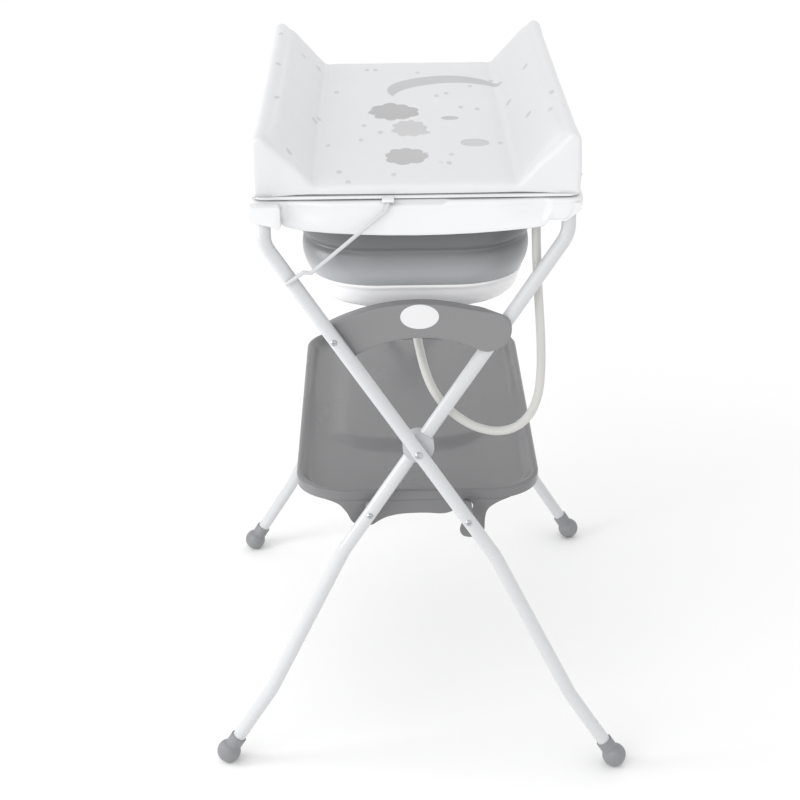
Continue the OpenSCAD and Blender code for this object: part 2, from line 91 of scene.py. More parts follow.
def new_mesh(name, verts, faces, material=None, smooth=True):
    mesh = bpy.data.meshes.new(name)
    mesh.from_pydata([tuple(v) for v in verts], [], [tuple(f) for f in faces])
    mesh.validate()
    mesh.update()
    if smooth:
        mesh.polygons.foreach_set("use_smooth", [True] * len(mesh.polygons))
    obj = bpy.data.objects.new(name, mesh)
    scene.collection.objects.link(obj)
    if material:
        mesh.materials.append(material)
    return obj


def face_out(obj):
    """Turns every face of a closed mesh outwards."""
    bm = bmesh.new()
    bm.from_mesh(obj.data)
    bmesh.ops.recalc_face_normals(bm, faces=bm.faces)
    bm.to_mesh(obj.data)
    bm.free()
    return obj


def loft_faces(rings, count, closed=False):
    """Faces between rings of the same number of points. closed joins the last ring to the first."""
    faces = []
    for i in range(rings if closed else rings - 1):
        j = (i + 1) % rings
        for k in range(count):
            n = (k + 1) % count
            faces.append((i * count + k, i * count + n, j * count + n, j * count + k))
    return faces


def smooth_step(x, low, high):
    t = np.clip((np.asarray(x, float) - low) / (high - low), 0, 1)
    return t * t * (3 - 2 * t)


def rounded_rectangle(hx, hy, r, count):
    """count points round a rectangle with round corners, evenly spaced, starting at the middle of +X."""
    r = min(r, hx, hy)
    quarter = math.pi / 2
    parts = [
        ((hx, 0), (hx, hy - r)), ((hx - r, hy - r), 0),
        ((hx - r, hy), (-hx + r, hy)), ((-hx + r, hy - r), 1),
        ((-hx, hy - r), (-hx, -hy + r)), ((-hx + r, -hy + r), 2),
        ((-hx + r, -hy), (hx - r, -hy)), ((hx - r, -hy + r), 3),
        ((hx, -hy + r), (hx, 0)),
    ]
    points = []
    for a, b in parts:
        if isinstance(b, int):
            for t in np.linspace(0, 1, 40, endpoint=False):
                angle = quarter * (b + t)
                points.append((a[0] + r * math.cos(angle), a[1] + r * math.sin(angle)))
        else:
            for t in np.linspace(0, 1, 40, endpoint=False):
                points.append((a[0] + t * (b[0] - a[0]), a[1] + t * (b[1] - a[1])))
    p = np.array(points + [points[0]])
    return along(p, count, closed=True)


def along(points, count, closed=False):
    """count points at even steps along a line of points."""
    p = np.asarray(points, float)
    far = np.concatenate([[0], np.cumsum(np.linalg.norm(np.diff(p, axis=0), axis=1))])
    at = np.linspace(0, far[-1], count, endpoint=not closed)
    return np.stack([np.interp(at, far, p[:, i]) for i in range(p.shape[1])], 1)


def spline(points, count):
    """A smooth curve through the points (Catmull-Rom), at even steps."""
    p = np.asarray(points, float)
    p = np.vstack([2 * p[0] - p[1], p, 2 * p[-1] - p[-2]])
    line = []
    for i in range(1, len(p) - 2):
        for t in np.linspace(0, 1, 16, endpoint=False):
            a, b, c, d = p[i - 1], p[i], p[i + 1], p[i + 2]
            line.append(0.5 * (2 * b + (c - a) * t + (2 * a - 5 * b + 4 * c - d) * t ** 2
                               + (3 * b - a - 3 * c + d) * t ** 3))
    line.append(p[-2])
    return along(line, count)


def fill_outline(ring):
    """Fills a flat outline in X and Z with even triangles: the points inside it, and the faces over both."""
    step, clear = 0.009, 0.0045
    low, high = ring.min(0), ring.max(0)
    grid = [(x, z) for x in np.arange(low[0], high[0], step) for z in np.arange(low[1], high[1], step)]
    ahead = np.roll(ring, -1, 0)
    inside = []
    for x, z in grid:
        a, b = ring - (x, z), ahead - (x, z)
        crosses = (a[:, 1] > 0) != (b[:, 1] > 0)
        at = a[:, 0] - a[:, 1] * (b[:, 0] - a[:, 0]) / np.where(crosses, b[:, 1] - a[:, 1], 1)
        if (crosses & (at > 0)).sum() % 2 and np.hypot(a[:, 0], a[:, 1]).min() > clear:
            inside.append((x, z))
    points = [Vector(p) for p in ring] + [Vector(p) for p in inside]
    loop = [(i, (i + 1) % len(ring)) for i in range(len(ring))]
    _, _, faces, sources, _, _ = delaunay_2d_cdt(points, loop, [], 1, 1e-9)
    # Points that the triangulation adds have no source, and their faces are left out
    number = [source[0] if source else -1 for source in sources]
    return inside, [[number[i] for i in face] for face in faces if all(number[i] >= 0 for i in face)]


def join_into(obj, other):
    """Adds another mesh to a piece and merges the points that meet."""
    bm = bmesh.new()
    bm.from_mesh(obj.data)
    bm.from_mesh(other.data)
    bmesh.ops.remove_doubles(bm, verts=bm.verts, dist=1e-5)
    for face in bm.faces:
        face.smooth = True
    bm.to_mesh(obj.data)
    bm.free()
    bpy.data.objects.remove(other)


def tube(name, line, radius, sides, material):
    """A closed round tube along a line."""
    line = np.asarray(line, float)
    ahead = np.gradient(line, axis=0)
    ahead /= np.linalg.norm(ahead, axis=1)[:, None]
    side = np.cross(ahead[0], (0.0, 1.0, 0.0))
    verts = []
    for p, a in zip(line, ahead):
        side = side - a * (side @ a)
        side /= np.linalg.norm(side)
        up = np.cross(a, side)
        for k in range(sides):
            angle = 2 * math.pi * k / sides
            verts.append(p + radius * (math.cos(angle) * side + math.sin(angle) * up))
    faces = loft_faces(len(line), sides)
    faces.append(list(range(sides))[::-1])
    faces.append([(len(line) - 1) * sides + k for k in range(sides)])
    return face_out(new_mesh(name, verts, faces, material))


def bevel(obj, width, segments=3, angle=35):
    """Rounds a piece's sharp edges."""
    weld = obj.modifiers.new("weld", "WELD")
    weld.merge_threshold = 1e-5
    mod = obj.modifiers.new("round", "BEVEL")
    mod.width = width
    mod.segments = segments
    mod.limit_method = "ANGLE"
    mod.angle_limit = math.radians(angle)
    mod.harden_normals = False
    mod.use_clamp_overlap = True


# ---- materials ----

class Shader:
    """A principled material with helpers that add nodes to it."""

    def __init__(self, name, colour, roughness, **sockets):
        self.material = bpy.data.materials.new(name)
        self.material.use_nodes = True
        self.tree = self.material.node_tree
        self.bsdf = self.tree.nodes["Principled BSDF"]
        self.bsdf.inputs["Base Color"].default_value = (*colour, 1)
        self.bsdf.inputs["Roughness"].default_value = roughness
        for socket, value in sockets.items():
            self.bsdf.inputs[socket.replace("_", " ")].default_value = value
        self.colour = (*colour, 1)
        self.place = self.node("ShaderNodeTexCoord").outputs["Object"]
        self.normal = None

    def node(self, kind, **values):
        made = self.tree.nodes.new(kind)
        for key, value in values.items():
            setattr(made, key, value)
        return made

    def link(self, a, b):
        self.tree.links.new(a, b)

    def noise(self, scale, detail=3):
        made = self.node("ShaderNodeTexNoise")
        made.inputs["Scale"].default_value = scale
        made.inputs["Detail"].default_value = detail
        made.inputs["Roughness"].default_value = 0.5
        self.link(self.place, made.inputs["Vector"])
        return made.outputs["Fac"]

    def math(self, operation, a, b=None):
        made = self.node("ShaderNodeMath", operation=operation)
        for i, value in enumerate((a, b)):
            if value is None:
                continue
            if isinstance(value, (int, float)):
                made.inputs[i].default_value = value
            else:
                self.link(value, made.inputs[i])
        return made.outputs[0]

    def spread(self, value, low, high, to_low=0.0, to_high=1.0):
        made = self.node("ShaderNodeMapRange")
        for i, number in enumerate((low, high, to_low, to_high)):
            made.inputs[i + 1].default_value = number
        self.link(value, made.inputs["Value"])
        return made.outputs["Result"]

    def tint(self, mask, colour):
        """Mixes a colour over what is there already, by a mask."""
        mix = self.node("ShaderNodeMix", data_type="RGBA")
        self.link(mask, mix.inputs["Factor"])
        last = self.bsdf.inputs["Base Color"]
        if last.is_linked:
            self.link(last.links[0].from_socket, mix.inputs["A"])
        else:
            mix.inputs["A"].default_value = self.colour
        mix.inputs["B"].default_value = (*colour, 1)
        self.link(mix.outputs["Result"], last)

    def bump(self, height, distance, strength=1.0):
        made = self.node("ShaderNodeBump")
        made.inputs["Distance"].default_value = distance
        made.inputs["Strength"].default_value = strength
        self.link(height, made.inputs["Height"])
        if self.normal:
            self.link(self.normal, made.inputs["Normal"])
        self.normal = made.outputs["Normal"]
        self.link(self.normal, self.bsdf.inputs["Normal"])

    def rough(self, value, low, high):
        self.link(self.spread(value, 0.1, 0.9, low, high), self.bsdf.inputs["Roughness"])


def painted_tube(name="painted_tube", colour=(0.61, 0.62, 0.635)):
    s = Shader(name, colour, 0.28, Coat_Weight=0.3, Coat_Roughness=0.12)
    s.tint(s.spread(s.noise(7, 1), 0.1, 0.9), tuple(c * 0.96 for c in colour))
    s.bump(s.noise(900, 2), 0.00003, 0.5)
    s.rough(s.noise(30), 0.24, 0.34)
    return s.material


def white_plastic(name="white_plastic", colour=(0.80, 0.805, 0.815), rough=(0.2, 0.3)):
    s = Shader(name, colour, 0.25, Coat_Weight=0.2, Coat_Roughness=0.15)
    s.tint(s.spread(s.noise(5, 1), 0.1, 0.9), tuple(c * 0.97 for c in colour))
    s.bump(s.noise(600, 2), 0.00003, 0.5)
    s.rough(s.noise(14), *rough)
    return s.material


def moulded_plastic(name, colour, rough=(0.34, 0.46)):
    """Moulded plastic: a slow change of shade, a fine even grain and a slightly uneven gloss."""
    s = Shader(name, colour, 0.4)
    s.tint(s.spread(s.noise(4, 1), 0.1, 0.9), tuple(c * 0.93 for c in colour))
    s.bump(s.noise(1800, 1), 0.00003, 0.6)
    s.rough(s.noise(9, 1), *rough)
    return s.material


def rubber(name, colour, rough, painted_light_below=None):
    """Rubber. The last argument gives two heights; between them the colour is painted paler from the upper to
    the lower one, as painted light on the lower part with the upper part left in the rim's shade.
    """
    s = Shader(name, colour, 0.55)
    s.tint(s.spread(s.noise(12, 1), 0.1, 0.9), tuple(c * 0.92 for c in colour))
    if painted_light_below:
        parts = s.node("ShaderNodeSeparateXYZ")
        s.link(s.place, parts.inputs["Vector"])
        # Painted light: the colour pales towards the bottom between the two heights, standing in for the
        # light on the lower part below the rim's shadow
        s.tint(s.spread(parts.outputs["Z"], *painted_light_below, 1, 0), tuple(c * 2.5 for c in colour))
    s.bump(s.noise(1100, 2), 0.00006, 0.6)
    s.rough(s.noise(40), *rough)
    return s.material


def steel():
    s = Shader("fastener_steel", (0.55, 0.56, 0.58), 0.3, Metallic=1.0)
    s.tint(s.spread(s.noise(300), 0.4, 0.7, 0, 0.7), (0.42, 0.43, 0.45))
    s.bump(s.noise(1200, 2), 0.00008)
    s.rough(s.noise(200), 0.22, 0.42)
    return s.material


def hose_plastic():
    s = Shader("hose_plastic", (0.66, 0.655, 0.63), 0.3, Transmission_Weight=0.1, IOR=1.4)
    s.tint(s.spread(s.noise(9, 1), 0.1, 0.9), (0.61, 0.605, 0.58))
    s.bump(s.noise(500, 2), 0.00008)
    s.rough(s.noise(40), 0.25, 0.38)
    return s.material


def scallop(s, across, along_, centre, size, bumps, depth, turn=0.0):
    """A mask that is 1 inside a cloud: an ellipse with uneven bumps, or a plain one where depth is 0."""
    dx = s.math("DIVIDE", s.math("SUBTRACT", across, centre[0]), size[0])
    dy = s.math("DIVIDE", s.math("SUBTRACT", along_, centre[1]), size[1])
    far = s.math("SQRT", s.math("ADD", s.math("MULTIPLY", dx, dx), s.math("MULTIPLY", dy, dy)))
    angle = s.math("ADD", s.math("ARCTAN2", dy, dx), turn)
    wave = s.math("ABSOLUTE", s.math("SINE", s.math("MULTIPLY", angle, bumps / 2)))
    edge = s.math("ADD", s.math("MULTIPLY", wave, depth), 1 - depth)
    if depth:
        edge = s.math("ADD", edge, s.spread(s.noise(13, 1), 0.2, 0.8, -0.2, 0.2))
    return s.spread(s.math("SUBTRACT", edge, far), 0.0, 0.03)


def flecks(s, scale, size, seed):
    """A mask of small scattered ovals: the middles of cells, some of them left out."""
    placed = s.node("ShaderNodeMapping")
    placed.inputs["Location"].default_value = (seed, seed * 1.7, 0)
    placed.inputs["Rotation"].default_value = (0, 0, seed * 2)
    placed.inputs["Scale"].default_value = (1, 0.45, 1)
    s.link(s.place, placed.inputs["Vector"])
    cells = s.node("ShaderNodeTexVoronoi", voronoi_dimensions="2D", distance="EUCLIDEAN")
    cells.inputs["Scale"].default_value = scale
    s.link(placed.outputs["Vector"], cells.inputs["Vector"])
    tone = s.node("ShaderNodeSeparateColor")
    s.link(cells.outputs["Color"], tone.inputs["Color"])
    kept = s.spread(tone.outputs["Red"], 0.42, 0.44)
    return s.math("MULTIPLY", s.spread(cells.outputs["Distance"], size, size * 1.25, 0.6, 0), kept)


def mat_cover():
    """White PVC with a pale grey print of clouds, a crescent and scattered flecks."""
    s = Shader("mat_cover", (0.74, 0.745, 0.76), 0.34, Coat_Weight=0.2, Coat_Roughness=0.25)
    parts = s.node("ShaderNodeSeparateXYZ")
    s.link(s.place, parts.inputs["Vector"])
    x, y = parts.outputs["X"], parts.outputs["Y"]
    s.tint(s.spread(s.noise(5, 1), 0.1, 0.9), (0.725, 0.73, 0.745))
    on_top = s.spread(s.math("ABSOLUTE", y), 0.384, 0.388, 1, 0)
    s.tint(s.math("MULTIPLY", flecks(s, 15, 0.058, 0.31), on_top), (0.44, 0.45, 0.47))
    s.tint(s.math("MULTIPLY", flecks(s, 13, 0.048, 2.17), on_top), (0.50, 0.51, 0.52))
    for centre, size, bumps, turn, shade in PRINT_CLOUDS:
        s.tint(scallop(s, x, y, centre, size, bumps, 0.15, turn), (shade, shade, shade * 1.02))
    outer = scallop(s, x, y, CRESCENT_AT, (0.104, 0.104), 2, 0.0)
    inner = scallop(s, x, y, (CRESCENT_AT[0] + 0.018, CRESCENT_AT[1] - 0.062), (0.114, 0.112), 2, 0.0)
    s.tint(s.math("MULTIPLY", outer, s.math("SUBTRACT", 1.0, inner)), (0.47, 0.48, 0.49))
    s.bump(s.noise(1400, 2), 0.00006, 0.6)
    s.bump(s.noise(35, 2), 0.0006, 0.35)
    s.rough(s.noise(18), 0.28, 0.42)
    return s.material


# Printed shapes on the lying surface: middle, half size, bumps, turn and shade
PRINT_CLOUDS = (
    ((-0.005, -0.085), (0.033, 0.058), 9, 0.3, 0.54),
    ((-0.030, 0.014), (0.044, 0.062), 9, 0.0, 0.40),
    ((-0.016, -0.250), (0.036, 0.052), 8, 0.5, 0.43),
    ((0.062, -0.027), (0.019, 0.014), 2, 0.0, 0.48),
    ((0.098, -0.179), (0.026, 0.022), 2, 0.0, 0.55),
)
CRESCENT_AT = (0.062, 0.165)

MATERIALS = {
    "tube_paint": painted_tube(),
    "bar_paint": painted_tube("bar_paint", (0.30, 0.30, 0.31)),
    "white_plastic": white_plastic(),
    "badge_white": white_plastic("badge_white", (0.76, 0.76, 0.77)),
    "grey_plastic": moulded_plastic("grey_plastic", (0.52, 0.535, 0.545)),
    "brace_grey": moulded_plastic("brace_grey", (0.24, 0.24, 0.245)),
    "tray_grey": moulded_plastic("tray_grey", (0.19, 0.19, 0.195), (0.20, 0.30)),
    "foot_rubber": rubber("foot_rubber", (0.25, 0.255, 0.265), (0.38, 0.5)),
    "fastener_steel": steel(),
    # Painted light on the band: its colour is painted paler from z 0.906 down to 0.862, where the lower part
    # catches the light below the rim's shadow
    "band_rubber": rubber("band_rubber", (0.145, 0.15, 0.155), (0.26, 0.38), (0.862, 0.906)),
    "base_grey": white_plastic("base_grey", (0.86, 0.86, 0.87), (0.26, 0.36)),
    "hose_clear": hose_plastic(),
    "mat_cover": mat_cover(),
}


# ---- drain hose ----

HOSE = (
    (0.000, -0.318, 0.772), (0.000, -0.318, 0.758), (0.001, -0.322, 0.742), (0.005, -0.332, 0.722),
    (0.011, -0.345, 0.700), (0.020, -0.357, 0.677), (0.033, -0.364, 0.655), (0.050, -0.366, 0.635),
    (0.070, -0.366, 0.618), (0.094, -0.366, 0.604), (0.122, -0.366, 0.597), (0.147, -0.366, 0.600),
    (0.167, -0.366, 0.612), (0.182, -0.366, 0.633), (0.191, -0.366, 0.662), (0.194, -0.366, 0.696),
    (0.194, -0.366, 0.734), (0.192, -0.366, 0.774), (0.189, -0.366, 0.816), (0.186, -0.365, 0.860),
    (0.184, -0.365, 0.900), (0.183, -0.365, 0.928), (0.183, -0.365, 0.945),
)
HOSE_DIAMETER = 0.014


def drain_hose():
    line = spline(HOSE, 120)
    hose = tube("hose", line, HOSE_DIAMETER / 2, 20, MATERIALS["hose_clear"])
    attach(hose, "tub")
    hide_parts("drain_hose")


drain_hose()


# ---- changing mat ----

BOARD_GAP = 0.0006
CLOTH_CAP = 0.005
CLOTH_FRAMES = 20


def mat_profile():
    """Half of the mat's section in X and Z, from the middle of the underside to the middle of the top."""
    low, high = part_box("bolster_right")
    pad_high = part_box("mat_pad")[1]
    bottom, top, wall = low.z + BOARD_GAP, high.z - 0.0006, high.x - 0.0008
    ridge_r = 0.0125
    ridge = (wall - 0.0175, top - ridge_r)
    valley = (low.x - 0.001, pad_high.z - 0.003)
    start = math.radians(8)
    slope = math.atan2(ridge[1] - valley[1], ridge[0] - valley[0])
    points = [(0, bottom), (wall - 0.003, bottom)]
    points += [(wall - 0.003 + 0.003 * math.sin(a), bottom + 0.003 - 0.003 * math.cos(a))
               for a in np.linspace(0.3, math.pi / 2, 5)]
    points += [(wall - 0.0005, bottom + 0.040), (wall - 0.003, top - 0.03)]
    points += [(ridge[0] + ridge_r * math.cos(a), ridge[1] + ridge_r * math.sin(a))
               for a in np.linspace(start, math.pi / 2 + slope, 14)]
    points += [(valley[0] + 0.012 * math.cos(slope), valley[1] + 0.012 * math.sin(slope) + 0.0008)]
    points += [(valley[0] + 0.003, valley[1] + 0.0022), (valley[0] - 0.004, valley[1])]
    points += [(valley[0] - 0.02, valley[1] + 0.0012), (0.10, pad_high.z - 0.0012)]
    points += [(0.05, pad_high.z - 0.0005), (0, pad_high.z - 0.0004)]
    return along(points, 150)


def mat_rings():
    """The section, and how far it is drawn in at each place along the mat: both end edges are round."""
    half = mat_profile()
    section = np.vstack([half, (half[::-1] * (-1, 1))[1:-1]])
    ahead = np.roll(section, -1, 0) - np.roll(section, 1, 0)
    inward = np.stack([-ahead[:, 1], ahead[:, 0]], 1)
    inward /= np.linalg.norm(inward, axis=1)[:, None]
    for _ in range(8):
        inward = (np.roll(inward, 1, 0) + 2 * inward + np.roll(inward, -1, 0)) / 4
    low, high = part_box("bolster_right")
    edge = 0.0075
    places, insets = [], []
    for t in np.linspace(0, 1, 9):
        places.append(low.y + 0.0008 + edge * (1 - math.cos(t * math.pi / 2)))
        insets.append(edge * (1 - math.sin(t * math.pi / 2)))
    middle = np.linspace(places[-1], high.y - 0.0008 - edge, 154)[1:-1]
    ys = places + list(middle) + [-p for p in places[::-1]]
    ds = insets + [0] * len(middle) + insets[::-1]
    return section, inward, ys, ds


def mat():
    section, inward, ys, ds = mat_rings()
    count = len(section)
    bottom = section[:, 1].min()
    # The underside keeps a sharper edge than the top, where the cover is pulled round the foam
    share = 0.25 + 0.75 * smooth_step(section[:, 1], bottom + 0.001, bottom + 0.012)
    verts = []
    for y, d in zip(ys, ds):
        ring = section + inward * (d * share)[:, None]
        verts += [(p[0], y, p[1]) for p in ring]
    faces = loft_faces(len(ys), count)
    for number in (0, len(ys) - 1):
        first, extra = number * count, len(verts)
        ring = np.array([(x, z) for x, _, z in verts[first:first + count]])
        inside, wall = fill_outline(ring)
        verts += [(x, ys[number], z) for x, z in inside]
        faces += [[first + i if i < count else extra + i - count for i in face] for face in wall]
    return face_out(new_mesh("mat", verts, faces, MATERIALS["mat_cover"]))


def cloth_lift(obj, cap):
    """Blows up a coarse copy of a piece as cloth, and moves the piece's points as the copy's moved."""
    copy = bpy.data.objects.new(obj.name + "_cloth", obj.data.copy())
    scene.collection.objects.link(copy)
    remesh = copy.modifiers.new("remesh", "REMESH")
    remesh.mode = "VOXEL"
    remesh.voxel_size = 0.006
    graph = bpy.context.evaluated_depsgraph_get()
    coarse = bpy.data.meshes.new_from_object(copy.evaluated_get(graph))
    copy.modifiers.clear()
    copy.data = coarse
    start = np.array([v.co for v in coarse.vertices])
    cloth = copy.modifiers.new("cloth", "CLOTH")
    cloth.settings.quality = 5
    cloth.settings.mass = 0.3
    cloth.settings.tension_stiffness = 20
    cloth.settings.compression_stiffness = 20
    cloth.settings.bending_stiffness = 0.8
    cloth.settings.use_pressure = True
    cloth.settings.uniform_pressure_force = 4
    cloth.settings.effector_weights.gravity = 0
    cloth.point_cache.frame_start = 1
    cloth.point_cache.frame_end = CLOTH_FRAMES
    for number in range(1, CLOTH_FRAMES + 1):
        scene.frame_set(number)
    graph = bpy.context.evaluated_depsgraph_get()
    blown = copy.evaluated_get(graph).to_mesh()
    moved = np.array([v.co for v in blown.vertices]) - start
    scene.frame_set(1)
    bpy.data.objects.remove(copy)
    reach = np.linalg.norm(moved, axis=1)
    moved *= (cap * np.tanh(reach / cap) / np.maximum(reach, 1e-9))[:, None]
    tree = KDTree(len(start))
    for i, point in enumerate(start):
        tree.insert(point, i)
    tree.balance()
    for v in obj.data.vertices:
        near = tree.find_n(v.co, 8)
        weights = np.array([1 / (far + 0.002) for _, _, far in near])
        shift = (moved[[i for _, i, _ in near]] * weights[:, None]).sum(0) / weights.sum()
        v.co += Vector(shift)


def dress_mat(obj):
    """Rests the mat on its board, keeps it inside its width, and adds the creases at both ends."""
    low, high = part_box("bolster_right")
    pad_low, pad_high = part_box("mat_pad")
    bottom = pad_low.z + BOARD_GAP
    co = np.array([v.co for v in obj.data.vertices])
    x, y, z = co.T
    side = np.abs(x)
    # Height above the straight line up a bolster's inner slope, used to find the slope
    rise = np.clip((side - low.x) / (high.x - 0.02 - low.x), 0, 1)
    slope_z = pad_high.z + rise * (high.z - 0.004 - pad_high.z)
    on_slope = (1 - smooth_step(np.abs(z - slope_z), 0.010, 0.022)) * smooth_step(rise, 0.03, 0.2)
    on_slope *= 1 - smooth_step(rise, 0.8, 1.0)
    end = high.y - np.abs(y)
    groove = np.exp(-((end - 0.020) / 0.0042) ** 2) * 0.0022
    groove += np.exp(-((end - 0.044 - 0.03 * rise) / 0.006) ** 2) * 0.0012
    z -= groove * on_slope
    on_top = smooth_step(z, pad_high.z - 0.008, pad_high.z - 0.001)
    on_top *= 1 - smooth_step(side, low.x - 0.01, low.x + 0.02)
    z += on_top * 0.0006 * np.sin(x * 41 + 1.3) * np.sin(y * 17 + 0.4)
    z = np.maximum(z, bottom)
    x = np.clip(x, -high.x - 0.002, high.x + 0.002)
    y = np.clip(y, -high.y - 0.003, high.y + 0.003)
    for v, a, b, c in zip(obj.data.vertices, x, y, z):
        v.co = (a, b, c)
    obj.data.update()


def finish_mat():
    obj = mat()
    cloth_lift(obj, CLOTH_CAP)
    dress_mat(obj)
    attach(obj, "mat")
    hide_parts("mat_pad", "bolster_left", "bolster_right")


finish_mat()


# ---- tub ----

def thin_ring(name, levels, count, material, wall=0.003):
    """A thin-walled ring, open above and below, through levels of (half x, half y, corner radius, z)."""
    rings = []
    for hx, hy, r, z in levels:
        p = rounded_rectangle(hx, hy, r, count)
        rings.append(np.c_[p, np.full(count, z)])
    for hx, hy, r, z in levels[::-1]:
        p = rounded_rectangle(hx - wall, hy - wall, max(r - wall, 0.004), count)
        rings.append(np.c_[p, np.full(count, z)])
    verts = np.vstack(rings)
    return face_out(new_mesh(name, verts, loft_faces(len(rings), count, closed=True), material))


BAND_CREASE = 0.56


def tub_band():
    low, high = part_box("tub_band")
    span = high.z - low.z
    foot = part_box("tub_base")[1] - Vector((0.0008, 0.0008, 0))
    levels = []
    for t in np.linspace(0, 1, 44):
        z = low.z + t * span
        fold = 0.0050 * math.sin(math.pi * t / BAND_CREASE) if t < BAND_CREASE else (
            0.0030 * math.sin(math.pi * (t - BAND_CREASE) / (1 - BAND_CREASE)))
        fold -= 0.0025 * math.exp(-((t - BAND_CREASE) / 0.05) ** 2)
        hx = foot.x + (high.x - 0.0006 - foot.x) * t ** 0.9 + fold
        hy = foot.y + (high.y - 0.0006 - foot.y) * t ** 0.9 + fold
        levels.append((hx, hy, 0.108 + 0.012 * t, z))
    obj = thin_ring("tub_band_folds", levels, 360, MATERIALS["band_rubber"], 0.0022)
    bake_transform(obj)
    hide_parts("tub_band")


tub_band()


def tub_base():
    """Hard base: a smooth bowl with a flange at the top and a standing ledge round the underside."""
    low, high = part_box("tub_base")
    seam = Vector((high.x, high.y))
    flange = (
        (0.0004, 0.0004, 0.108, 0.0002), (0.0002, 0.0002, 0.108, 0.003),
        (0.0006, 0.0006, 0.108, 0.0055), (0.0030, 0.0026, 0.106, 0.0065),
    )
    outer = [(seam.x - dx, seam.y - dy, r, high.z - dz) for dx, dy, r, dz in flange]
    for t in np.linspace(0.08, 1, 14):
        angle = t * math.pi / 2
        turned_in = 1 - math.cos(angle)
        outer.append((seam.x - 0.004 - 0.034 * turned_in, seam.y - 0.0034 - 0.030 * turned_in,
                      0.106 - 0.02 * t, high.z - 0.0065 - 0.0385 * math.sin(angle)))
    outer += [(0.1265, 0.3342, 0.082, low.z + 0.0028), (0.1260, 0.3340, 0.082, low.z + 0.0003),
              (0.1220, 0.3300, 0.079, low.z + 0.0002), (0.1210, 0.3290, 0.079, low.z + 0.0026),
              (0.060, 0.290, 0.050, low.z + 0.0028)]
    inner = [(hx - 0.003, hy - 0.003, r - 0.003, z + 0.0005) for hx, hy, r, z in outer[:4]]
    inner += [(hx - 0.0035, hy - 0.0035, r - 0.003, z + 0.0025) for hx, hy, r, z in outer[4:-5]]
    inner += [(0.119, 0.326, 0.077, low.z + 0.0062), (0.060, 0.290, 0.050, low.z + 0.0060)]
    count = 320
    levels = outer[::-1] + inner
    verts = [np.c_[rounded_rectangle(hx, hy, r, count), np.full(count, z)] for hx, hy, r, z in levels]
    faces = loft_faces(len(levels), count)
    obj = new_mesh("tub_base_bowl", np.vstack(verts), faces, MATERIALS["base_grey"])
    close_floor(obj, drain=(0.0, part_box("drain_plug")[0].y + 0.018), radius=0.0141)
    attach(obj, "tub_bottom")
    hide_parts("tub_base")


def close_floor(obj, drain, radius):
    """Fills the middle of the bowl's floor, under and upper side, round the drain hole."""
    sides = 40
    bm = bmesh.new()
    bm.from_mesh(obj.data)
    edges = [e for e in bm.edges if e.is_boundary]
    levels = sorted({round(e.verts[0].co.z, 5) for e in edges})
    rims = []
    for z in levels:
        ring = [bm.verts.new((drain[0] + radius * math.cos(a), drain[1] + radius * math.sin(a), z))
                for a in np.linspace(0, 2 * math.pi, sides, endpoint=False)]
        rims.append(ring)
        circle = [bm.edges.new((ring[i], ring[(i + 1) % sides])) for i in range(sides)]
        around = [e for e in edges if abs(e.verts[0].co.z - z) < 1e-4]
        bmesh.ops.triangle_fill(bm, use_beauty=True, use_dissolve=False, edges=around + circle)
    for i in range(sides):
        j = (i + 1) % sides
        bm.faces.new((rims[0][i], rims[0][j], rims[-1][j], rims[-1][i]))
    for face in bm.faces:
        face.smooth = True
    bmesh.ops.recalc_face_normals(bm, faces=bm.faces)
    bm.to_mesh(obj.data)
    bm.free()


tub_base()


# Lower edge of the rim's end apron: distance from the middle and height, in metres
APRON_EDGE = (
    (-0.252, 0.9760), (-0.232, 0.9700), (-0.204, 0.9570), (-0.172, 0.9485), (-0.130, 0.9441),
    (-0.086, 0.9412), (-0.043, 0.9396), (0.000, 0.9390), (0.043, 0.9396), (0.086, 0.9412),
    (0.130, 0.9441), (0.172, 0.9480), (0.192, 0.9510), (0.199, 0.9600), (0.224, 0.9600), (0.254, 0.9870),
)


def rim_edge_height(x, y, reach):
    """Height of the rim's lower edge on its outline: apron at both ends, plain skirt at the sides."""
    heights = np.array(APRON_EDGE)
    apron = np.interp(x, heights[:, 0], heights[:, 1])
    skirt = np.where(x > 0, 0.9725, 0.9645)
    at_end = smooth_step(np.abs(y), reach - 0.030, reach - 0.004)
    return skirt + (apron - skirt) * at_end


